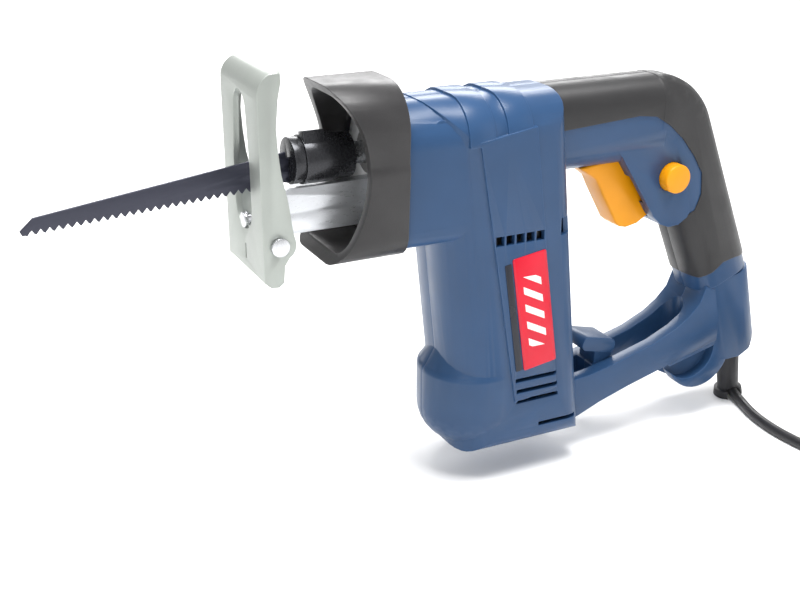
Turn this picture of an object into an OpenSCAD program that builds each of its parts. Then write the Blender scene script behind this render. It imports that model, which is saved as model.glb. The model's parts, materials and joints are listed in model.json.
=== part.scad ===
// Compact corded reciprocating saw with an upright motor and a D-handle.
// Axes: blade towards -X, up +Z, the lock button side is -Y. Millimetres.
// z = 0 is the foot of the cord guard, the lowest point of the saw.

/* [Body] */
// Width of the motor column across the saw
column_w = 60; // [54:0.5:70]
// Length of the motor column along the saw
column_l = 78; // [70:0.5:90]
// Backward lean of the motor column, from its head down to its base
column_lean = 6; // [0:0.5:10]
// Height of the flat motor base
base_z = 18; // [14:0.5:24]
// Height of the roof of the body
roof_z = 224; // [210:0.5:235]
// Width of the nose
nose_w = 57; // [52:0.5:60]
// Wall of the clamshell
wall = 2.6; // [2:0.1:3.5]
// Width of the handle
grip_w = 38; // [32:0.5:44]
// Depth of the rear leg of the handle, front to back
leg_d = 42; // [34:0.5:46]

/* [Cutting end] */
// Height of the plunger axis
axis_z = 198; // [190:0.5:205]
// Diameter of the plunger
plunger_d = 12; // [10:0.5:16]
// Full stroke of the blade
stroke = 19; // [12:0.5:30]
// Reach of the blade tip ahead of the frame origin
tip_x = 225; // [200:1:260]
// Blade height at the shoulder
blade_h = 16.6; // [12:0.2:22]
// Blade height at the tip
tip_h = 7.4; // [5:0.2:12]
// Blade thickness
blade_t = 1.3; // [0.9:0.1:2]
// Tooth pitch, 6 teeth to the inch
pitch = 4.233; // [1.4:0.001:8]
// Nose-down angle of the blade
cant = 5.6; // [0:0.1:8]
// Width of the shoe
shoe_w = 54; // [44:0.5:64]

/* [Cord] */
// Diameter of the cord
cord_d = 6.5; // [5:0.1:9]

/* [Hidden] */

$fn = 64;
col_x = 28.5;                       // middle of the motor column at half height
col_z = (base_z + roof_z) / 2;
nose_x = -44;                       // front face of the nose
nose_z = 148;                       // underside of the nose
bulge_x = 17;                       // axis of the rounded motor foot
motor_x = 30;                       // motor axis
gear_x = motor_x - 27;              // crank gear axis, 9 and 36 teeth of module 1.2
pivot = [-107, 163];                // shoe pivot in X and Z
clip_x = -91;                       // front face of the blade clamp
bz0 = axis_z - 3.4;                 // blade height at the clamp face
elbow = [129, 181];               // centre of the handle's rear corner
elbow_r = 43;
leg_lean = 22.6;                    // lean of the rear leg from upright
leg_l = 104;
trig_dir = [0.906, 0.423];          // the way the trigger slides
trig_profile = [[81, 174.5], [88.5, 169.5], [93, 166], [96.5, 159], [108, 138.5], [111.5, 135.6],
  [116, 134.6], [123.5, 136], [131.5, 140.8], [112.5, 178], [106.5, 180], [95, 176.6]];
trig_gap = [[80.6, 175.2], [88.3, 169.2], [92.7, 165.8], [96.2, 158.9], [107.8, 138.2], [111.2, 135.2],
  [116, 134.2], [123.7, 135.6], [132, 140.5], [113, 178.5], [106.7, 180.6], [95, 177.4]];
button_at = [139, 165];
coil_c = [261.4, -104];             // middle of the stored coil
coil_r = [22.9, 55.7];
coil_h = 13.4;
cord_path = [[215.4, -2, 6.3], [214.6, -7, 4.5], [213.2, -13, 3.6], [211.2, -20, 3.3],
  [207.8, -31, 3.3], [205.2, -44, 3.3], [204.4, -58, 3.3], [205.4, -72, 3.3], [207.2, -82, 3.3],
  [208.4, -92, 3.3], [209, -103, 3.3]];
tail_path = [[212.2, -121.9, 11], [218.5, -134.1, 13.5], [227.7, -144.1, 16.2], [239.8, -150.2, 16.7],
  [253.2, -150.8, 16.7], [266, -147, 16.7], [276.5, -139.5, 16.8], [283.5, -129, 17.8],
  [287, -118, 20.5], [288, -108, 22.8], [288, -101, 23.2]];
plug_at = [288, -87, 23.2];         // the plug lies on the coil

// Points of a rectangle with round corners, centred, with a radius for the bottom and the top.
function arc(cx, cy, r, a0, a1, n = 7) =
  [for (i = [0:n]) [cx + r * cos(a0 + (a1 - a0) * i / n), cy + r * sin(a0 + (a1 - a0) * i / n)]];
function rrect(w, h, rb, rt, n = 6) = concat(
  arc(w / 2 - rb, -h / 2 + rb, rb, -90, 0, n), arc(w / 2 - rt, h / 2 - rt, rt, 0, 90, n),
  arc(-w / 2 + rt, h / 2 - rt, rt, 90, 180, n), arc(-w / 2 + rb, -h / 2 + rb, rb, 180, 270, n));

// Extrudes a YZ outline along +X from x0.
module along_x(x0, len) {
  translate([x0, 0, 0]) rotate([90, 0, 90]) linear_extrude(len) children();
}
// Extrudes an XZ outline across the saw, centred on Y = 0.
module across(w) {
  rotate([90, 0, 0]) translate([0, 0, -w / 2]) linear_extrude(w) children();
}
module pin_y(x, z, d, w, y = 0) {
  translate([x, y, z]) rotate([90, 0, 0]) cylinder(d = d, h = w, center = true);
}
module pin_x(x, z, d, len) {
  translate([x, 0, z]) rotate([0, 90, 0]) cylinder(d = d, h = len);
}
module ring_z(x, z, do, di, h) {
  translate([x, 0, z]) difference() {
    cylinder(d = do, h = h);
    translate([0, 0, -1]) cylinder(d = di, h = h + 2);
  }
}

// ---- body envelope, all faces drawn in by t, round corners cut into n steps ----
module column(t, n) {
  intersection() {
    translate([col_x, 0, col_z]) rotate([0, -column_lean, 0]) translate([0, 0, -130])
      linear_extrude(260) rotate(90) polygon(rrect(column_w - 2 * t, column_l - 2 * t, 10 - t, 22 - t, n));
    translate([0, 0, col_z]) along_x(-60, 200)
      polygon(rrect(column_w - 2 * t, roof_z - base_z - 2 * t, 12 - t, 22 - t, n));
  }
}
module nose(t, n) {
  h = roof_z - nose_z - 0.6;
  translate([0, 0, nose_z + h / 2]) along_x(nose_x, 70)
    polygon(rrect(nose_w - 2 * t, h - 2 * t, 12 - t, 22 - t, n));
}
// Round foot of the motor column.
module bulge() {
  translate([bulge_x, 0, 0]) rotate_extrude($fn = 96)
    polygon(concat([[0, base_z]], arc(7, base_z + 24, 24, -90, 0, 8),
      arc(25, 64, 6, 0, 50, 4), [[21, 82], [0, 82]]));
}
module top_bar(t) {
  // a little slimmer than the corner, which it ends inside
  translate([0, 0, 199]) along_x(38, elbow[0] - 35.5)
    polygon(rrect(grip_w - 0.5 - 2 * t, 49.5 - 2 * t, 14 - t, 14 - t));
}
module corner(t) {
  translate([elbow[0], 0, elbow[1]]) rotate([90, 0, 0]) rotate([0, 0, leg_lean])
    rotate_extrude(angle = 90 - leg_lean, $fn = 96)
      translate([elbow_r - leg_d / 2, 0])
        polygon(rrect(leg_d - 2 * t, grip_w - 2 * t, 14 - t, 14 - t));
}
module leg(t) {
  translate([elbow[0], 0, elbow[1]]) rotate([0, -leg_lean, 0])
    translate([elbow_r - leg_d / 2, 0, -leg_l]) linear_extrude(leg_l)
      polygon(rrect(leg_d - 2 * t, grip_w - 2 * t, 14 - t, 14 - t));
}
module handle(t) {
  top_bar(t);
  corner(t);
  leg(t);
}
module foot() {
  intersection() {
    translate([214.5, 0, 81]) rotate([0, -13.3, 0]) translate([-20, 0, -46])
      linear_extrude(64) polygon(rrect(40, 35, 12, 12));
    across(60) polygon([[150, 120], [150, 36], [206, 37.4], [213.6, 41.5], [218, 50], [219.4, 62],
      [216, 80], [206, 120]]);
  }
}
module gusset() {
  across(34) polygon([[98, 186], [103.5, 180.5], [128.5, 142], [134, 136.4],
    [140, 134], [147, 134.4], [153, 138], [158, 146], [152, 190], [110, 200]]);
}
module lobe() {
  across(33) polygon(arc(174, 45.5, 23.5, 0, 351, 39));
}
module link_outer() {
  across(34) polygon([[60, 34], [60, base_z + 8], [72, base_z + 2], [80, 20.5], [99, 28], [120, 34.5],
    [141, 40], [186, 52], [186, 84], [174, 90], [170, 80], [162, 72], [153, 66], [137, 59],
    [105, 50.5], [90, 47.5], [72, 46]]);
}
// Hollow of the clamshell.
module cavity() {
  column(wall, 2);
  translate([-1, 0, 0]) nose(wall, 2);
  translate([50, -13, 179]) cube([90, 26, 39]);
  translate([elbow[0], 0, elbow[1]]) rotate([0, -leg_lean, 0])
    translate([elbow_r - leg_d / 2 - 16, -12.5, -98]) cube([32, 25, 110]);
  translate([112, -13, 150]) cube([36, 26, 40]);
  translate([188, -12, 46]) cube([25, 24, 46]);
}
module bosses() {
  for (p = screw_at) pin_y(p[0], p[1], 8, 2 * p[2]);
}
// Raised side panels, roof bands and ribs, outside the envelope.
module trims() {
  for (s = [-1, 1]) translate([31.3, s * 30, 132]) rotate([0, -8.7, 0]) rotate([90, 0, 0])
    translate([0, 0, -1.2]) linear_extrude(2.4) polygon([[-14, -82], [14, -82], [17.4, 75], [-17, 75]]);
  for (x = [-3, 20]) intersection() {
    translate([0, 0, col_z]) along_x(x, 15)
      polygon(rrect(column_w + 2.4, roof_z - base_z + 2.8, 13, 23));
    translate([-40, -40, 201]) cube([120, 80, 60]);
  }
}
module trigger_way() {
  d = 7.2 * trig_dir;
  across(17.6) polygon(concat([for (i = [0:7]) trig_gap[i]],
    [for (i = [7:11]) trig_gap[i] + d], [trig_gap[0] + d]));
}
module lower_cuts() {
  // slot between the two rails of the link, and the gap behind the motor foot
  translate([112, -8.5, 20]) cube([48, 17, 60]);
  translate([160, 0, 20]) cylinder(d = 17, h = 60);
  translate([78, -8.5, 10]) cube([20, 17, 60]);
  // storage recess in each side of the handle foot
  for (s = [-1, 1]) translate([0, s * 13.5, 0]) across(8) intersection() {
    polygon(arc(166.5, 48, 18.5, 0, 351, 39));
    polygon([[140, 38.2], [190, 49.8], [190, 20], [140, 20]]);
  }
}
module vents() {
  for (s = [-1, 1]) {
    for (i = [0:2]) translate([43.5 + i * 0.9, s * 30, 62.5 - i * 7])
      cube([28, 9, 2.6], center = true);
    for (i = [0:4]) translate([16.5 + i * 6.3, s * 30, 148]) cube([5.2, 9, 5.6], center = true);
    translate([60, s * 29, 150.5]) cube([8.4, 8, 10], center = true);
    translate([60, s * 29, 31]) cube([26, 7, 2.6], center = true);
  }
}
// Where the soft rubber covers the handle, as an outline seen from the side.
grip_area = [[44, 240], [47, 221], [54, 208], [58.5, 200.5], [92, 202.5], [112, 203.8], [124, 202.2],
  [134, 196], [144, 187], [153, 176], [160, 165], [161, 152], [157.5, 142], [148, 134.6], [136, 133],
  [136, 118], [152, 99], [169, 96], [176, 100], [183, 105.5], [192, 107.5], [230, 108], [230, 240]];
// Shell screws: place, and how far each boss reaches to either side.
screw_at = [[-16, 212, 24], [66, 213, 13], [2, 47, 22], [128, 213, 13], [186, 108, 13], [181, 66, 12],
  [62, 40, 28]];
module shell() {
  difference() {
    union() {
      difference() {
        union() {
          column(0, 6);
          nose(0, 6);
          bulge();
          handle(0.8);
          foot();
          gusset();
          lobe();
          trims();
          link_outer();
        }
        cavity();
      }
      bosses();
    }
    lower_cuts();
    vents();
    trigger_way();
    pin_y(button_at[0], button_at[1], 17.6, 40, -20);
    translate([216.2, 0, 0]) rotate([0, -8, 0]) {
      translate([0, 0, 30]) cylinder(d = 13.3, h = 28);
      translate([0, 0, 20]) cylinder(d = 16, h = 20.8);
    }
    for (p = screw_at) {
      pin_y(p[0], p[1], 7, 40, p[2] + 20);
      pin_y(p[0], p[1], 3.6, p[2] + 6, p[2] / 2 - 3);
    }
  }
}
module grip(side) {
  intersection() {
    difference() {
      handle(0);
      handle(0.8);
      gusset();
      column(0, 6);
      foot();
    }
    across(60) polygon(grip_area);
    translate([0, side < 0 ? -60 : 0, 0]) cube([300, 60, 300]);
  }
}
module half(side) {
  intersection() {
    shell();
    translate([-100, side < 0 ? -60 : 0, 0]) cube([400, 60, 300]);
  }
}
module housing_left() { color([0.22, 0.34, 0.5]) half(-1); }
module housing_right() { color([0.24, 0.36, 0.52]) half(1); }
module grip_left() { color([0.2, 0.2, 0.21]) grip(-1); }
module grip_right() { color([0.22, 0.22, 0.23]) grip(1); }
module housing_screws() {
  color([0.3, 0.3, 0.32]) for (p = screw_at) {
    pin_y(p[0], p[1], 6.6, 2.4, p[2] + 1.2);
    pin_y(p[0], p[1], 3.6, p[2] + 6, p[2] / 2 - 3);
  }
}

// ---- nose: boot, gear case, bearings ----
module boot_outline(t) {
  polygon(concat(arc(17, 160, 14 - t, -90, -10, 5), arc(19, 193, 14 - t, -10, 20, 3),
    arc(9, 213, 24 - t, 0, 90, 8), arc(-9, 213, 24 - t, 90, 180, 8),
    arc(-19, 193, 14 - t, 160, 190, 3), arc(-17, 160, 14 - t, 190, 270, 5)));
}
module rubber_boot() {
  color([0.16, 0.16, 0.17]) difference() {
    along_x(-80, 42) boot_outline(0);
    // front edge dished in side view
    translate([-126.5, 0, 193]) rotate([90, 0, 0]) cylinder(r = 67, h = 90, center = true, $fn = 128);
    along_x(-90, 90 - 46.4) boot_outline(5.5);
    translate([0, 0, nose_z + 37.7]) along_x(nose_x - 3, 20) polygon(rrect(nose_w, 75.4, 12, 22));
    // bevel towards the body
    translate([-38, 0, 237]) rotate([0, 35, 0]) translate([0, -50, 0]) cube([30, 100, 30]);
  }
}
module gear_case() {
  color([0.62, 0.64, 0.66]) difference() {
    union() {
      translate([0, 0, nose_z + 37.7]) along_x(-46, 22)
        polygon(rrect(nose_w - 2 * wall - 0.2, 75.2 - 2 * wall, 9.3, 19.3, 2));
      for (s = [-1, 1]) translate([-25, s * 22.7 - 2.6, 163]) cube([80, 5.2, 10]);
      translate([43, -25, 130]) cube([12, 50, 43]);
      translate([43, -12, 172]) cube([12, 24, 40]);
      translate([gear_x, -22, 130]) cube([50, 44, 12]);
      translate([gear_x, 0, 130]) cylinder(d = 24.6, h = 12);
    }
    pin_x(-50, axis_z, 18, 30);
    pin_x(-30, axis_z, plunger_d + 3, 60);
    pin_x(40, axis_z, 18, 20);
    translate([-50, -4.05, 159.9]) cube([24, 8.1, 24.7]);
    translate([gear_x, 0, 128]) cylinder(d = 20, h = 20);
    translate([motor_x, 0, 128]) cylinder(d = 22, h = 11);
    translate([motor_x, 0, 128]) cylinder(d = 16, h = 20);
    translate([-8, -26, 146.5]) cube([51, 52, 13.5]);
    for (x = [-40, -31]) pin_y(x, 172, 4, 60);
  }
}
module bush(x, len) {
  difference() {
    pin_x(x, axis_z, 18, len);
    pin_x(x - 1, axis_z, plunger_d + 0.1, len + 2);
  }
}
module front_bushing() { color([0.72, 0.55, 0.28]) bush(-45.5, 20); }
module rear_bushing() { color([0.72, 0.55, 0.28]) bush(43, 12); }
module plunger_seal() {
  color([0.1, 0.1, 0.11]) difference() {
    pin_x(-47.9, axis_z, 23, 1.9);
    pin_x(-50, axis_z, plunger_d + 0.7, 6);
  }
}
module plunger() {
  color([0.75, 0.76, 0.78]) pin_x(clip_x + 25, axis_z, plunger_d, 132);
}
module yoke() {
  color([0.55, 0.56, 0.58]) difference() {
    translate([gear_x - 9, -17, 172.6]) cube([18, 34, 17]);
    translate([gear_x - 5.8, -15.6, 170]) cube([11.6, 31.2, 13.6]);
    pin_x(gear_x - 20, axis_z, plunger_d, 40);
  }
}

// ---- blade and its clamp, blade frame: origin on the clamp face, blade along -X ----
module canted() {
  translate([clip_x, 0, bz0]) rotate([0, -cant, 0]) children();
}
blade_l = (tip_x + clip_x) / cos(cant);
teeth_n = 29;
module saw_blade() {
  color([0.2, 0.21, 0.25]) canted() difference() {
    across(blade_t) polygon(concat(
      [[23, 5], [-0.6, 5], [-0.6, blade_h / 2], [-blade_l + 7, tip_h / 2], [-blade_l, -1.4],
       [-blade_l + 0.7, -tip_h / 2]],
      [for (i = [0:teeth_n]) for (k = [0:2])
        let (x = -blade_l + 2.2 + i * pitch + [0, 0.75, 3.2][k],
             y = -tip_h / 2 - (blade_h - tip_h) / 2 * (x + blade_l) / blade_l)
        [x, y + [0, -0.5, 1.9][k]]],
      [[-0.6, -blade_h / 2 + 0.2], [-0.6, -5], [23, -5]]));
    pin_y(14, 0, 4.1, 10);
  }
}
module blade_gap() {
  canted() translate([-6, -blade_t / 2 - 0.15, -5.25]) cube([31, blade_t + 0.3, 10.5]);
}
module clamp_body() {
  color([0.13, 0.13, 0.14]) difference() {
    union() {
      pin_x(clip_x, axis_z, 24, 5.4);
      pin_x(clip_x, axis_z, 18, 33);
    }
    blade_gap();
    pin_y(clip_x + 14, bz0 + 1.4, 4, 40);
    pin_x(clip_x + 25, axis_z, plunger_d, 20);
  }
}
module clamp_collar() {
  color([0.15, 0.15, 0.16]) difference() {
    union() {
      pin_x(clip_x + 5.8, axis_z, 25.4, 18);
      pin_x(clip_x + 23.8, axis_z, 23.4, 9);
      translate([clip_x + 6, -8.5, axis_z + 8]) rotate([-14, 0, 0]) cube([11, 7, 8.4]);
    }
    pin_x(clip_x, axis_z, 18.1, 50);
    pin_x(clip_x + 24.6, axis_z, 20.4, 10);
  }
}
module clamp_pin() {
  color([0.7, 0.7, 0.72]) pin_y(clip_x + 14, bz0 + 1.4, 4, 15.6);
}
module clamp_spring() {
  color([0.5, 0.5, 0.52]) for (i = [0:3]) difference() {
    pin_x(clip_x + 25 + i * 2.1, axis_z, 20, 1.3);
    pin_x(clip_x + 20 + i * 2.1, axis_z, 18.0, 10);
  }
}

// ---- shoe and its support bar ----
module support_bar() {
  color([0.78, 0.8, 0.82]) difference() {
    across(8) polygon(concat([[-26, 184.4], [-101.5, 184.4], [-103, 182.5], [-103, 171]],
      arc(pivot[0], pivot[1], 4.8, 120, 300, 12), [[-99, 160.2], [-26, 160.2]]));
    pin_y(pivot[0], pivot[1], 6.05, 20);
    for (x = [-40, -31]) pin_y(x, 172, 4, 60);
  }
}
module bar_screws() {
  color([0.4, 0.4, 0.42]) for (x = [-40, -31]) pin_y(x, 172, 4, 46);
}
module shoe_side() {
  polygon(concat([[-115.5, 145], [-115.5, 236]], arc(-104.5, 238, 11, 170, 100, 6),
    [[-103.5, 249.2], [-103.2, 244], [-105, 236], [-106.4, 222], [-105.8, 210], [-104.6, 199],
     [-101.6, 185], [-99.4, 169]], arc(pivot[0] + 1, pivot[1], 8, 20, -60, 6),
    [[-104.4, 152.4], [-105.2, 143.6], [-108, 141.6], [-112, 141.8]]));
}
module shoe() {
  color([0.76, 0.78, 0.76]) difference() {
    across(shoe_w) shoe_side();
    // hollow between the flanges
    across(shoe_w - 6) polygon([[-112.2, 130], [-112.2, 232], [-107, 240.5], [-80, 243], [-80, 130]]);
    // blade slot with a round head, and the cut-away lower corners
    along_x(-125, 40) polygon(concat(arc(0, 228, 9, 0, 180, 12),
      [[-12, 200], [-12, 178]], arc(0, 178, 12, 180, 360, 8), [[12, 178], [12, 200]]));
    for (s = [-1, 1]) translate([-110, s * shoe_w / 2, 256]) rotate([s * -42, 0, 0])
      cube([40, 16, 12], center = true);
    pin_y(pivot[0], pivot[1], 6.9, 80);
    pin_x(-125, 170.5, 4, 30);
    pin_x(-117, 170.5, 8.2, 2.9);
    translate([-118, -0.9, 150]) cube([4.5, 1.8, 8]);
  }
}
module shoe_pin() {
  color([0.8, 0.81, 0.83]) {
    pin_y(pivot[0], pivot[1], 6, 53);
    for (s = [-1, 1]) pin_y(pivot[0], pivot[1], 9.4, 2.2, s * (shoe_w / 2 + 1.15));
    for (s = [-1, 1]) pin_y(pivot[0], pivot[1], 6.8, 3, s * (shoe_w / 2 - 1.5));
  }
}
module shoe_screw() {
  color([0.7, 0.7, 0.72]) union() {
    pin_x(-116.4, 170.5, 8, 2.3);
    pin_x(-115, 170.5, 4, 3.2);
  }
}

// ---- gear train and motor ----
module spur(n, m, h, bore, turn = 0) {
  r = n * m / 2;
  difference() {
    linear_extrude(h) polygon([for (i = [0:n - 1]) for (k = [0:3])
      let (a = turn + (i + [-0.28, -0.11, 0.11, 0.28][k]) * 360 / n,
           rr = r + m * [-1.2, 0.86, 0.86, -1.2][k]) [rr * cos(a), rr * sin(a)]]);
    translate([0, 0, -1]) cylinder(d = bore, h = h + 2);
  }
}
module crank_gear() {
  color([0.66, 0.67, 0.7]) {
    translate([gear_x, 0, 152.8]) spur(36, 1.2, 4.2, 7.9);
    translate([gear_x, 0, 131]) cylinder(d = 8, h = 29);
    translate([gear_x, 0, 143]) cylinder(d = 13, h = 9.8);
    translate([gear_x, -stroke / 2, 157]) cylinder(d = 5, h = 14.6);
  }
}
module crank_roller() {
  color([0.5, 0.51, 0.54]) translate([gear_x, -stroke / 2, 164.6]) difference() {
    cylinder(d = 11, h = 7);
    translate([0, 0, -1]) cylinder(d = 5.1, h = 9);
  }
}
module gear_bearing() { color([0.72, 0.55, 0.28]) ring_z(gear_x, 130, 20, 8.1, 12); }
module motor_shaft() {
  color([0.7, 0.71, 0.74]) {
    translate([motor_x, 0, 24]) cylinder(d = 8, h = 123);
    translate([motor_x, 0, 147]) spur(9, 1.2, 11, 0.4);
  }
}
module armature_core() { color([0.45, 0.45, 0.47]) ring_z(motor_x, 54, 30, 8, 38); }
module armature_windings() {
  color([0.72, 0.4, 0.2]) {
    ring_z(motor_x, 46.5, 26, 8, 7.4);
    ring_z(motor_x, 92.1, 26, 8, 7);
  }
}
module commutator() {
  color([0.75, 0.48, 0.25]) difference() {
    ring_z(motor_x, 33.5, 22, 8, 12);
    for (i = [0:11]) translate([motor_x, 0, 40]) rotate([0, 0, i * 30])
      translate([10.8, 0, 0]) cube([1.6, 0.5, 20], center = true);
  }
}
module fan() {
  color([0.15, 0.15, 0.16]) {
    ring_z(motor_x, 103, 46, 8, 2);
    for (i = [0:8]) translate([motor_x, 0, 104.5]) rotate([0, 0, i * 40])
      translate([10, -0.8, 0]) cube([12, 1.6, 9]);
  }
}
module upper_bearing() { color([0.6, 0.61, 0.64]) ring_z(motor_x, 131.4, 22, 8.1, 7); }
module lower_bearing() { color([0.6, 0.61, 0.64]) ring_z(motor_x, 24.4, 22, 8.1, 7); }
module stator_core() {
  color([0.4, 0.4, 0.42]) translate([motor_x, 0, 52]) difference() {
    cylinder(d = 51, h = 42);
    translate([0, 0, -1]) cylinder(d = 31.4, h = 44);
    for (s = [-1, 1]) translate([s * 18.6, 0, 21]) cube([8.6, 20, 44], center = true);
  }
}
module field_coils() {
  color([0.7, 0.36, 0.18]) for (s = [-1, 1]) translate([motor_x + s * 19, 0, 73])
    cube([7.2, 19, 52], center = true);
}
module brush_holders() {
  color([0.6, 0.5, 0.25]) for (s = [-1, 1]) translate([motor_x, s * 18.7, 39.5]) difference() {
    cube([9, 13, 11], center = true);
    cube([6.2, 15, 7.2], center = true);
  }
}
module carbon_brushes() {
  color([0.12, 0.12, 0.12]) for (s = [-1, 1]) translate([motor_x, s * 15.8, 39.5])
    cube([6, 8.8, 7], center = true);
}
module brush_springs() {
  color([0.7, 0.7, 0.72]) for (s = [-1, 1]) for (i = [0:2])
    translate([motor_x, s * (21.4 + i * 1.4), 39.5]) rotate([90, 0, 0]) difference() {
      cylinder(d = 5, h = 0.9, center = true);
      cylinder(d = 3.4, h = 3, center = true);
    }
}

// ---- handle controls ----
module switch_body() {
  color([0.1, 0.1, 0.11]) difference() {
    translate([143, 0, 183]) rotate([0, -25, 0]) cube([24, 17, 26], center = true);
    pin_y(button_at[0], button_at[1], 18.4, 40, -24);
  }
}
module trigger() {
  color([0.95, 0.66, 0.08]) across(17) polygon(trig_profile);
}
module trigger_spring() {
  color([0.6, 0.6, 0.62]) translate([125, 0, 169.7]) rotate([0, 64.9, 0]) for (i = [0:4])
    translate([0, 0, i * 2.1]) difference() {
      cylinder(d = 6, h = 0.9);
      translate([0, 0, -1]) cylinder(d = 4.2, h = 3);
    }
}
module lock_button() {
  color([0.95, 0.66, 0.08]) pin_y(button_at[0], button_at[1], 17, 9.4, -19.3);
}
module button_spring() {
  color([0.6, 0.6, 0.62]) for (i = [0:1]) translate([button_at[0], -9.8 + i * 1.4, button_at[1]])
    rotate([90, 0, 0]) difference() {
      cylinder(d = 8, h = 0.8);
      translate([0, 0, -1]) cylinder(d = 6, h = 3);
    }
}
module capacitor() {
  color([0.75, 0.72, 0.3]) translate([170, 0, 142]) rotate([0, -leg_lean, 0])
    cube([12, 9, 20], center = true);
}

// ---- labels and clip ----
module on_panel(w) {
  translate([40, -31.2, 104]) rotate([0, -8.5, 0]) rotate([90, 0, 0]) linear_extrude(w) children();
}
module label_plate() {
  color([0.85, 0.1, 0.16]) on_panel(0.5) polygon(rrect(21.4, 69, 1.2, 1.2));
}
module label_strip() {
  color([0.08, 0.08, 0.1]) on_panel(0.4) translate([-13.6, -0.6]) polygon(rrect(4.2, 66, 0.6, 0.6));
}
module key_clip() {
  color([0.2, 0.3, 0.45]) {
    across(16) polygon([[99.6, 60], [99.6, 49.6], [105, 50.7], [112.4, 52.7], [112.4, 60]]);
    translate([101, 0, 62.6]) rotate([0, 14, 0]) across(20)
      polygon(rrect(24, 9, 3.5, 4.2));
  }
}

// ---- cord and what holds it ----
module cord_guard() {
  color([0.12, 0.12, 0.13]) difference() {
    translate([216.2, 0, 0]) rotate([0, -8, 0]) union() {
      translate([0, 0, 1.2]) cylinder(d1 = 18.6, d2 = 17.6, h = 5);
      translate([0, 0, 6]) cylinder(d1 = 13.4, d2 = 15.4, h = 34);
      translate([0, 0, 39]) cylinder(d = 12.8, h = 14);
    }
    translate([216.2, 0, -1]) rotate([0, -8, 0]) cylinder(d = cord_d + 1.2, h = 60);
    translate([200, -40, -10]) cube([40, 60, 10]);
    translate([215, -12, 2.8]) rotate([90, 0, 0]) cylinder(d = 10.6, h = 24, center = true);
  }
}
module cord_clamp() {
  color([0.15, 0.15, 0.16]) difference() {
    translate([190, -11.6, 60]) cube([21, 23.2, 7]);
    translate([202, 0, 55]) cylinder(d = cord_d, h = 20);
  }
}
module clamp_screws() {
  color([0.5, 0.5, 0.52]) for (s = [-1, 1]) translate([207, s * 8.5, 67]) cylinder(d = 5, h = 3);
}
// Round tube swept along a list of points, closed at both ends.
function unit(v) = v / norm(v);
function way(p, i) = unit(p[min(i + 1, len(p) - 1)] - p[max(i - 1, 0)]);
function rings(p, r, n) = [for (i = [0:len(p) - 1])
  let (d = way(p, i), u = unit(cross(d, [0, 0, 1] + 0.05 * [1, 0, 0])), v = cross(d, u))
  for (k = [0:n - 1]) p[i] + r * (cos(k * 360 / n) * u + sin(k * 360 / n) * v)];
module tube(p, r, n = 10) {
  m = len(p);
  polyhedron(points = rings(p, r, n), faces = concat(
    [[for (k = [0:n - 1]) k]], [[for (k = [0:n - 1]) (m - 1) * n + n - 1 - k]],
    [for (i = [0:m - 2]) for (k = [0:n - 1])
      [i * n + k, (i + 1) * n + k, (i + 1) * n + (k + 1) % n, i * n + (k + 1) % n]]));
}
module cord_run() { color([0.13, 0.13, 0.14]) tube(cord_path, cord_d / 2); }
module cord_tail() { color([0.13, 0.13, 0.14]) tube(tail_path, cord_d / 2); }
module cord_coil() {
  color([0.14, 0.14, 0.15]) translate([coil_c[0], coil_c[1], 0]) rotate_extrude($fn = 96)
    translate([coil_r[0], 0]) square([coil_r[1] - coil_r[0], coil_h]);
}
module plug_body() {
  color([0.12, 0.12, 0.13]) translate(plug_at) rotate([-90, 0, 0]) {
    translate([0, 0, -19]) cylinder(d1 = 9, d2 = 13, h = 14);
    translate([0, 0, -6]) linear_extrude(26) polygon(rrect(30, 19.6, 6, 6));
  }
}
module plug_pins() {
  color([0.8, 0.72, 0.45]) for (s = [-1, 1]) translate(plug_at + [s * 9.5, 20, 0])
    rotate([-90, 0, 0]) cylinder(d = 4, h = 19);
}

housing_left();
housing_right();
grip_left();
grip_right();
housing_screws();
rubber_boot();
gear_case();
front_bushing();
rear_bushing();
plunger_seal();
plunger();
yoke();
clamp_body();
clamp_collar();
clamp_pin();
clamp_spring();
saw_blade();
support_bar();
bar_screws();
shoe();
shoe_pin();
shoe_screw();
crank_gear();
crank_roller();
gear_bearing();
motor_shaft();
armature_core();
armature_windings();
commutator();
fan();
upper_bearing();
lower_bearing();
stator_core();
field_coils();
brush_holders();
carbon_brushes();
brush_springs();
switch_body();
trigger();
trigger_spring();
lock_button();
button_spring();
capacitor();
label_plate();
label_strip();
key_clip();
cord_guard();
cord_clamp();
clamp_screws();
cord_run();
cord_coil();
cord_tail();
plug_body();
plug_pins();
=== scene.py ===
# %% [markdown]
# # A compact reciprocating saw
# The saw stands in one shared frame: the blade points along -X, the handle is towards +X, +Z is up and
# the lock button is on the -Y side. Everything is in metres. The mechanical parts come from the CAD
# model. This script rounds the visible ones, gives every piece its finish, and lays the cord as a curve.

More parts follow.
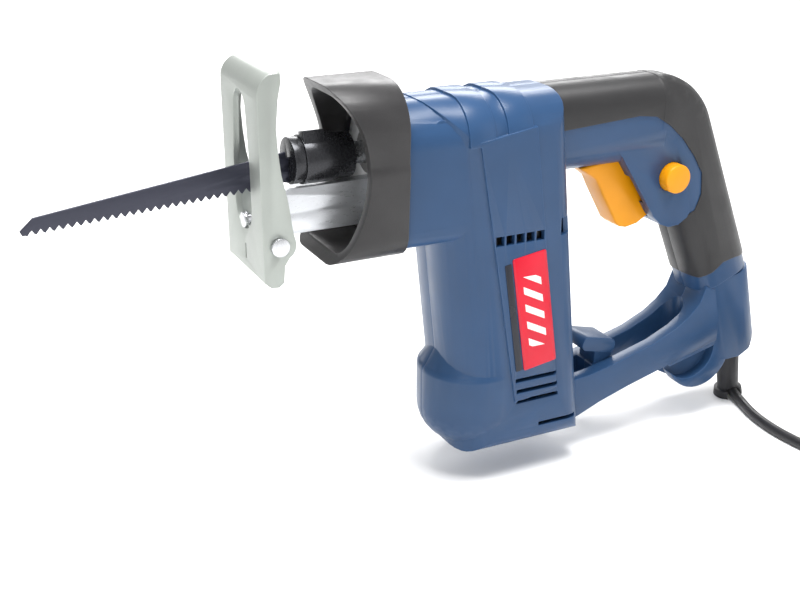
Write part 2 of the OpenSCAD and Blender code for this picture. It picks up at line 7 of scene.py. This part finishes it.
# %% Load the frame
import bpy
import json
import math
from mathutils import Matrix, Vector


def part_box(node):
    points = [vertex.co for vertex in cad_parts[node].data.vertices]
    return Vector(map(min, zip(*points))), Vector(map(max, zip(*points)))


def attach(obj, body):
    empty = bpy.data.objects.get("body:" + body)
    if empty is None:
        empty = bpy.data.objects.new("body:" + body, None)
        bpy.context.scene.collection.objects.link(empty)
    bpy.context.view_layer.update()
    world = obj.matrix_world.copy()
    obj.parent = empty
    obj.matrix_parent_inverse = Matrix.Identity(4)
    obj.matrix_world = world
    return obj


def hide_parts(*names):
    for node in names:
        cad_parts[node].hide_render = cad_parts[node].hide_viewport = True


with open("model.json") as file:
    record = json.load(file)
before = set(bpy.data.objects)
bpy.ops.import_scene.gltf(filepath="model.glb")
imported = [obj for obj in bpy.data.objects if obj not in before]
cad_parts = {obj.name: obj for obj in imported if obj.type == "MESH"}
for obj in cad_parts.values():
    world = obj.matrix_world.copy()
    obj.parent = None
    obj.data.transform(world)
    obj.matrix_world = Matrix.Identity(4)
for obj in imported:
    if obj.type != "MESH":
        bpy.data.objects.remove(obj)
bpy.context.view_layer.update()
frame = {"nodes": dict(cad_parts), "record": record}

mm = 0.001
nodes = frame["nodes"]
body_of_node = {n: b for b, ns in frame["record"]["behaviour"]["bodies"].items() for n in ns}
slot_of_node = {s["node"]: s["material_slot"] for s in frame["record"]["subparts"]}
bpy.ops.object.select_all(action="DESELECT")

# %% [markdown]
# ## The camera
# A short telephoto lens looks down a little from the button side, ahead of the motor, so that the shoe
# face, the side of the motor and the handle all show. The lens is 54 mm on a 36 mm sensor.

# %% Camera
camera_place = (-0.2977, -0.5528, 0.3596)
camera_tilt, camera_turn = 68, -26  # degrees
lens = bpy.data.cameras.new("main_camera")
lens.lens = 54
lens.sensor_width = 36
lens.clip_start = 0.01
camera = bpy.data.objects.new("main_camera", lens)
camera.location = camera_place
camera.rotation_euler = (math.radians(camera_tilt), 0, math.radians(camera_turn))
bpy.context.scene.collection.objects.link(camera)
bpy.context.scene.camera = camera
print("camera at", tuple(camera.location))

# %% [markdown]
# ## The cord
# A round rubber cord, 6.5 mm thick and a little over two metres long. It comes straight down out of its
# guard, lies down on the table and runs off to the side. What is left over is wound into a flat coil of
# two layers: the lower one winds inwards, the upper one back outwards, and the plug lies on the coil.
# It is a curve of one open spline, because a curve keeps its true length and takes its thickness from
# its bevel. First come the places it passes, in millimetres.

# %% Cord route
cord_d = 6.5 * mm
run_points = [
    (215.4, -2, 6.3), (214.6, -7, 4.5), (213.2, -13, 3.6), (211.2, -20, 3.3), (207.8, -31, 3.3),
    (205.2, -44, 3.3), (204.4, -58, 3.3), (205.4, -72, 3.3), (207.2, -85, 3.3)]
tail_points = [
    (212.2, -121.9, 11), (218.5, -134.1, 13.5), (227.7, -144.1, 16.2), (239.8, -150.2, 16.7),
    (253.2, -150.8, 16.7), (266, -147, 16.7), (276.5, -139.5, 16.8), (283.5, -129, 17.8),
    (287, -118, 20.5), (288, -108, 22.8), (288, -101, 23.2)]
coil_x, coil_y = 261.4, -104
r_out, r_in = 52.4, 26.3
turns, per_turn = 4, 18  # turns in one layer, knots in one turn
low_z, layer_rise = 3.3, 6.6
climb_before, climb_knots = 6, 12  # the knots over which the cord climbs to the upper layer
layer_knots = turns * per_turn
coil_points = []
for i in range(2 * layer_knots + 1):
    share = i / layer_knots if i <= layer_knots else 2 - i / layer_knots
    r = r_out + (r_in - r_out) * share
    a = math.pi + 2 * math.pi * i / per_turn
    rise = min(1, max(0, (i - (layer_knots - climb_before)) / climb_knots))
    z = low_z + layer_rise * rise * rise * (3 - 2 * rise)
    coil_points.append((coil_x + r * math.cos(a), coil_y + r * math.sin(a), z))
cord_points = run_points + coil_points + tail_points
print("cord knots", len(cord_points))

# %% [markdown]
# The spline goes through every knot with automatic handles, which bend it evenly.

# %% Cord curve
cord_line = bpy.data.curves.new("mains_cord", "CURVE")
cord_line.dimensions = "3D"
cord_line.bevel_depth = cord_d / 2
cord_line.bevel_resolution = 4
cord_line.resolution_u = 4
cord_line.use_fill_caps = True
spline = cord_line.splines.new("BEZIER")
spline.bezier_points.add(len(cord_points) - 1)
for knot, p in zip(spline.bezier_points, cord_points):
    knot.co = Vector(p) * mm
    knot.handle_left_type = knot.handle_right_type = "AUTO"
mains_cord = bpy.data.objects.new("mains_cord", cord_line)
bpy.context.scene.collection.objects.link(mains_cord)
flat = [Vector(p) * mm for p in cord_points]
print("straight from knot to knot", round(sum((b - a).length for a, b in zip(flat, flat[1:])), 3), "m")

# %% [markdown]
# ## Carrying a hard part over
# A moulded or cast part never has a razor edge. The CAD mesh is loose triangles, so a copy is merged,
# its flat areas are joined up, a small bevel rounds its edges and the curved walls are shaded smooth.
# The copy then stands for the CAD part and rides on the same body.

# %% Helper for rounded copies
merge_gap = 0.01 * mm
flat_angle, bevel_angle, smooth_angle = 1.0, 32, 35  # degrees


def rounded(name, width):
    mesh = nodes[name].data.copy()
    piece = bpy.data.objects.new(name + "_piece", mesh)
    bpy.context.scene.collection.objects.link(piece)
    bpy.ops.object.select_all(action="DESELECT")
    piece.select_set(True)
    bpy.context.view_layer.objects.active = piece
    mesh.materials.clear()
    bpy.ops.object.mode_set(mode="EDIT")
    bpy.ops.mesh.select_all(action="SELECT")
    bpy.ops.mesh.remove_doubles(threshold=merge_gap)
    bpy.ops.mesh.dissolve_limited(angle_limit=math.radians(flat_angle))
    bpy.ops.object.mode_set(mode="OBJECT")
    edge = piece.modifiers.new("edge", "BEVEL")
    edge.width = width * mm
    edge.segments = 2
    edge.limit_method = "ANGLE"
    edge.angle_limit = math.radians(bevel_angle)
    edge.use_clamp_overlap = True
    edge.miter_outer = "MITER_ARC"
    bpy.ops.object.modifier_apply(modifier="edge")
    bpy.ops.object.shade_smooth_by_angle(angle=math.radians(smooth_angle))
    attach(piece, body_of_node[name])
    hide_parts(name)
    return piece


# %% [markdown]
# ## Helpers for the finishes
# Every finish is built from nodes on Object coordinates, so the grain stays the same size on every
# part. Each one has a fine bump, a slow change of colour, and a lighter tone on its edges, where the
# bevel normal turns away from the true normal.

# %% Colour helpers
low_stop, high_stop = 0.3, 0.7  # where a noise's ramps begin and end


def new_finish(name):
    finish = bpy.data.materials.new(name)
    finish.use_nodes = True
    tree = finish.node_tree
    shader = tree.nodes["Principled BSDF"]
    place = tree.nodes.new("ShaderNodeTexCoord")
    return finish, tree, shader, place.outputs["Object"]


def noise(tree, place, scale, detail, roughness=0.55, stretch=None):
    grain = tree.nodes.new("ShaderNodeTexNoise")
    grain.inputs["Scale"].default_value = scale
    grain.inputs["Detail"].default_value = detail
    grain.inputs["Roughness"].default_value = roughness
    if stretch:
        turn = tree.nodes.new("ShaderNodeMapping")
        turn.inputs["Scale"].default_value = stretch
        tree.links.new(place, turn.inputs["Vector"])
        place = turn.outputs["Vector"]
    tree.links.new(place, grain.inputs["Vector"])
    return grain.outputs["Fac"]


def ramp(tree, source, low, high):
    table = tree.nodes.new("ShaderNodeValToRGB")
    for element, (where, shade) in zip(table.color_ramp.elements, (low, high)):
        element.position = where
        element.color = shade
    tree.links.new(source, table.inputs["Fac"])
    return table.outputs["Color"]


def grey(v):
    return (v, v, v, 1)


def tone(c, k):
    return (min(1, c[0] * k), min(1, c[1] * k), min(1, c[2] * k), 1)


def varied(tree, source, low, high):
    return ramp(tree, source, (low_stop, low), (high_stop, high))


# %% [markdown]
# The bump moves no geometry, it only tilts the normal. It starts from a bevelled normal, which softens
# the edges a little more. The same bevelled normal, compared with the true one, finds the edges.

# %% Surface helpers
def add_bump(tree, shader, height, strength, distance, soften):
    bump = tree.nodes.new("ShaderNodeBump")
    bump.inputs["Strength"].default_value = strength
    bump.inputs["Distance"].default_value = distance
    tree.links.new(height, bump.inputs["Height"])
    round_edge = tree.nodes.new("ShaderNodeBevel")
    round_edge.samples = 4
    round_edge.inputs["Radius"].default_value = soften
    tree.links.new(round_edge.outputs["Normal"], bump.inputs["Normal"])
    tree.links.new(bump.outputs["Normal"], shader.inputs["Normal"])


def edge_mask(tree, radius, low, high):
    wide = tree.nodes.new("ShaderNodeBevel")
    wide.samples = 6
    wide.inputs["Radius"].default_value = radius
    true = tree.nodes.new("ShaderNodeNewGeometry")
    dot = tree.nodes.new("ShaderNodeVectorMath")
    dot.operation = "DOT_PRODUCT"
    tree.links.new(wide.outputs["Normal"], dot.inputs[0])
    tree.links.new(true.outputs["Normal"], dot.inputs[1])
    return ramp(tree, dot.outputs["Value"], (low, grey(1)), (high, grey(0)))


def blend_colours(tree, mask, a, b):
    mix = tree.nodes.new("ShaderNodeMix")
    mix.data_type = "RGBA"
    tree.links.new(mask, mix.inputs["Factor"])
    for value, socket in ((a, mix.inputs[6]), (b, mix.inputs[7])):
        if isinstance(value, tuple):
            socket.default_value = value
        else:
            tree.links.new(value, socket)
    return mix.outputs[2]


# %% [markdown]
# ## Moulded plastic, rubber and metal
# The three families of finish. Plastic has a spark-eroded grain a third of a millimetre across. Rubber
# is duller, with a broader, softer bump. Metal has either a brushed direction or a cast grain.

# %% Plastic, rubber and metal
def plastic(name, colour, rough, grain=2600, bump=0.12, wear=1.5):
    finish, tree, shader, place = new_finish(name)
    shader.inputs["Specular IOR Level"].default_value = 0.34
    slow = noise(tree, place, 22, 3)
    base = varied(tree, slow, tone(colour, 0.9), tone(colour, 1.08))
    worn = blend_colours(tree, edge_mask(tree, 0.0012, 0.86, 0.985), base, tone(colour, wear))
    tree.links.new(worn, shader.inputs["Base Color"])
    smear = noise(tree, place, 60, 4)
    tree.links.new(varied(tree, smear, grey(rough - 0.03), grey(rough + 0.04)),
                   shader.inputs["Roughness"])
    add_bump(tree, shader, noise(tree, place, grain, 2), bump, 0.0003, 0.0006)
    return finish


def rubber(name, colour, rough, sheen=0.06):
    finish, tree, shader, place = new_finish(name)
    slow = noise(tree, place, 30, 4)
    base = varied(tree, slow, tone(colour, 0.85), tone(colour, 1.15))
    dusty = blend_colours(tree, edge_mask(tree, 0.0015, 0.85, 0.98), base, tone(colour, 1.5))
    tree.links.new(dusty, shader.inputs["Base Color"])
    shader.inputs["Sheen Weight"].default_value = sheen
    shader.inputs["Specular IOR Level"].default_value = 0.35
    shader.inputs["Sheen Roughness"].default_value = 0.5
    tree.links.new(varied(tree, noise(tree, place, 90, 3), grey(rough - 0.07), grey(rough + 0.08)),
                   shader.inputs["Roughness"])
    add_bump(tree, shader, noise(tree, place, 1500, 4), 0.18, 0.0004, 0.0008)
    return finish


def metal(name, colour, rough, stretch, grain, bump, metallic=1.0, wear=1.25):
    finish, tree, shader, place = new_finish(name)
    shader.inputs["Metallic"].default_value = metallic
    slow = noise(tree, place, 40, 4)
    base = varied(tree, slow, tone(colour, 0.95), tone(colour, 1.04))
    bright = blend_colours(tree, edge_mask(tree, 0.0008, 0.85, 0.985), base, tone(colour, wear))
    tree.links.new(bright, shader.inputs["Base Color"])
    lines = noise(tree, place, grain, 4, 0.6, stretch)
    tree.links.new(varied(tree, lines, grey(rough - 0.04), grey(rough + 0.07)),
                   shader.inputs["Roughness"])
    add_bump(tree, shader, lines, bump, 0.0003, 0.0004)
    return finish


# %% [markdown]
# ## The finishes
# One finish for each material slot of the CAD model. The last numbers of a metal are the direction of
# its brushing, the scale of its grain, the strength of its bump, how metallic it is and how bright its
# worn edges are.

# %% Finish list
finishes = {
    "shell": plastic("blue_moulded_shell", (0.021, 0.06, 0.142), 0.32, bump=0.06, wear=1.35),
    "grip": rubber("soft_grip_rubber", (0.022, 0.0215, 0.0225), 0.42),
    "boot": rubber("nose_boot_rubber", (0.026, 0.025, 0.026), 0.38),
    "guard": rubber("cord_guard_rubber", (0.02, 0.02, 0.023), 0.48),
    "cord": rubber("cord_rubber", (0.014, 0.014, 0.016), 0.38),
    "control_yellow": plastic("yellow_control", (0.78, 0.3, 0.001), 0.4, wear=1.08),
    "black_plastic": plastic("black_plastic", (0.02, 0.02, 0.022), 0.45, wear=2.2),
    "casting": metal("cast_gear_case", (0.55, 0.56, 0.57), 0.45, None, 700, 0.3),
    "shoe_alloy": metal("die_cast_shoe", (0.36, 0.385, 0.36), 0.42, None, 1600, 0.1, 0.6, 1.2),
    "bar": metal("plated_bar", (0.72, 0.74, 0.77), 0.3, (1, 12, 12), 260, 0.08, 0.75),
    "steel": metal("ground_steel", (0.58, 0.59, 0.61), 0.26, (12, 1, 12), 300, 0.08),
    "screw": metal("dark_screw_steel", (0.2, 0.2, 0.22), 0.35, None, 800, 0.1),
    "bronze": metal("sintered_bronze", (0.6, 0.42, 0.2), 0.4, None, 1500, 0.2),
    "copper": metal("enamelled_copper", (0.62, 0.26, 0.1), 0.3, (1, 1, 14), 420, 0.3),
    "lamination": metal("stacked_laminations", (0.3, 0.3, 0.32), 0.4, (1, 1, 40), 90, 0.4),
    "carbon": rubber("brush_carbon", (0.02, 0.02, 0.02), 0.6, 0.0),
    "clamp_black": metal("black_oxide", (0.035, 0.036, 0.04), 0.26, None, 700, 0.08, 0.6, 3.0),
    "blade": metal("blued_blade", (0.036, 0.038, 0.056), 0.36, (1, 14, 3), 230, 0.08, 0.5, 1.8),
    "label_black": plastic("label_dark_strip", (0.012, 0.013, 0.02), 0.25, 3000, 0.03, 1.6),
}
print("finishes", len(finishes))

# %% [markdown]
# ## The label
# A printed gloss label on the side panel. Its motif is generic: pale slanted bars on red. The bars
# come from a wave over the label's own height, cut off near the label's edges, so nothing is lettered.

# %% Label finish
label_lean = 8.5  # degrees the label leans from upright
bar_area = (0.0058, 0.0215)  # half the width and height the bars fill
bar_slant, bar_pitch, bar_share = 0.55, 0.0105, 0.42
wave_start = 1.0  # keeps the wave positive over the whole label
rim_from = 0.0094
label_reds = (0.58, 0.002, 0.02, 1), (0.66, 0.004, 0.026, 1)
bar_colour, rim_colour = (0.86, 0.84, 0.84, 1), (0.55, 0.01, 0.03, 1)


def label_finish(low, high):
    finish, tree, shader, place = new_finish("red_gloss_label")
    split = tree.nodes.new("ShaderNodeSeparateXYZ")
    tree.links.new(place, split.inputs[0])

    def math_node(operation, *values):
        step = tree.nodes.new("ShaderNodeMath")
        step.operation = operation
        for value, socket in zip(values, step.inputs):
            if isinstance(value, (int, float)):
                socket.default_value = value
            else:
                tree.links.new(value, socket)
        return step.outputs[0]

    # distance from the label's middle, across it and up it
    z = math_node("SUBTRACT", split.outputs["Z"], (low.z + high.z) / 2)
    shifted = math_node("SUBTRACT", split.outputs["X"], (low.x + high.x) / 2)
    x = math_node("ADD", shifted, math_node("MULTIPLY", z, math.tan(math.radians(label_lean))))
    inside_x = math_node("LESS_THAN", math_node("ABSOLUTE", x), bar_area[0])
    inside_z = math_node("LESS_THAN", math_node("ABSOLUTE", z), bar_area[1])
    slant = math_node("ADD", z, math_node("MULTIPLY", x, bar_slant))
    wave = math_node("DIVIDE", math_node("ADD", slant, wave_start), bar_pitch)
    stripe = math_node("LESS_THAN", math_node("FRACT", wave), bar_share)
    bars = math_node("MULTIPLY", stripe, math_node("MULTIPLY", inside_x, inside_z))
    rim = math_node("GREATER_THAN", math_node("ABSOLUTE", x), rim_from)
    red = varied(tree, noise(tree, place, 45, 3), *label_reds)
    printed = blend_colours(tree, bars, red, bar_colour)
    tree.links.new(blend_colours(tree, rim, printed, rim_colour), shader.inputs["Base Color"])
    shader.inputs["Roughness"].default_value = 0.24
    shader.inputs["Specular IOR Level"].default_value = 0.3
    add_bump(tree, shader, noise(tree, place, 500, 2), 0.03, 0.0002, 0.0003)
    return finish


finishes["label_red"] = label_finish(*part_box("label_plate"))

# %% [markdown]
# ## Rounded copies of the visible parts
# The large mouldings take a soft radius, the castings a smaller one, and the pressed or ground parts
# only a hint of one. The radii are in millimetres.

# %% Visible parts
radii = {
    "housing_left": 0.7, "housing_right": 0.7, "grip_left": 0.25, "grip_right": 0.25,
    "rubber_boot": 1.0, "clamp_body": 0.5, "clamp_collar": 0.6, "support_bar": 0.5, "shoe": 0.7,
    "shoe_pin": 0.4, "shoe_screw": 0.3, "trigger": 1.3, "lock_button": 0.9, "label_plate": 0.15,
    "label_strip": 0.12, "key_clip": 0.8, "cord_guard": 0.7, "plug_body": 1.2, "plug_pins": 0.6,
    "housing_screws": 0.3, "saw_blade": 0.12}
piece_of = {}
for name, radius in radii.items():
    piece = rounded(name, radius)
    piece.data.materials.append(finishes[slot_of_node[name]])
    piece_of[name] = piece
    print(name, "faces", len(piece.data.polygons))

# %% [markdown]
# ## The parts inside
# The gear train, the motor and the switch can't be seen through the closed shell, but they show when
# the shell is lifted off, so each keeps its CAD mesh and gets the finish of its real material.

# %% Inner parts
for name, node in nodes.items():
    if name in piece_of:
        continue
    node.data.materials.clear()
    node.data.materials.append(finishes[slot_of_node[name]])
print("inner parts", len(nodes) - len(piece_of))

# %% [markdown]
# ## Fix the cord to the saw
# The cord stands for the three CAD solids along its way, and its plug rides on its end.

cord_line.materials.append(finishes["cord"])
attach(mains_cord, "body")
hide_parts("cord_run", "cord_coil", "cord_tail")
print("cord on the body, plug riding on its end")

# %% [markdown]
# ## The floor
# A plain pale floor. It gives off a little light of its own far from the saw, where the lamps no longer
# reach, so that it stays an even white up to its edge.

# %% Floor
glow_from, glow_full, glow = 0.5, 2.0, 0.55  # two distances in metres, and the light given off
bpy.ops.object.select_all(action="DESELECT")
bpy.ops.mesh.primitive_plane_add(size=8, location=(0, 0, 0))
floor = bpy.context.active_object
floor.name = "floor"
paper, tree, shader, place = new_finish("pale_floor")
tree.links.new(varied(tree, noise(tree, place, 6, 2), grey(0.93), grey(0.95)),
               shader.inputs["Base Color"])
shader.inputs["Roughness"].default_value = 0.9
reach = tree.nodes.new("ShaderNodeVectorMath")
reach.operation = "LENGTH"
tree.links.new(place, reach.inputs[0])
away = tree.nodes.new("ShaderNodeMapRange")
away.interpolation_type = "SMOOTHSTEP"
away.inputs["From Min"].default_value = glow_from
away.inputs["From Max"].default_value = glow_full
away.inputs["To Max"].default_value = glow
tree.links.new(reach.outputs["Value"], away.inputs["Value"])
shader.inputs["Emission Color"].default_value = (1, 1, 1, 1)
tree.links.new(away.outputs["Result"], shader.inputs["Emission Strength"])
floor.data.materials.append(paper)
print("floor", tuple(floor.dimensions))

# %% [markdown]
# ## The light
# A white sky and four large soft lights: one overhead, one in front on the button side, one low from
# the handle's side, and one behind that shines on the roof. The Standard view keeps the strong blue,
# yellow and red of the plastics, which a filmic one would wash out.

# %% Light
sky_strength = 0.58
bpy.context.scene.view_settings.view_transform = "Standard"
world = bpy.data.worlds.new("studio")
bpy.context.scene.world = world
world.use_nodes = True
sky = world.node_tree.nodes["Background"]
sky.inputs["Color"].default_value = (1, 1, 1, 1)
sky.inputs["Strength"].default_value = sky_strength


def softbox(name, place, aim, size, power):
    light = bpy.data.lights.new(name, "AREA")
    light.shape = "RECTANGLE"
    light.size, light.size_y = size
    light.energy = power
    lamp = bpy.data.objects.new(name, light)
    lamp.location = place
    lamp.rotation_euler = (Vector(aim) - Vector(place)).to_track_quat("-Z", "Y").to_euler()
    bpy.context.scene.collection.objects.link(lamp)
    print(name, power, "W")


softbox("overhead", (-0.1, -0.1, 1.3), (0.02, 0, 0.12), (0.9, 0.5), 27)
softbox("front_fill", (-0.9, -1.2, 0.7), (0, 0, 0.12), (0.9, 0.9), 3)
softbox("side_fill", (0.9, -0.9, 0.5), (0.05, 0, 0.12), (0.7, 0.9), 1.5)
softbox("roof_shine", (0.75, 1.45, 0.95), (0.02, 0, 0.2), (1.4, 0.7), 20)
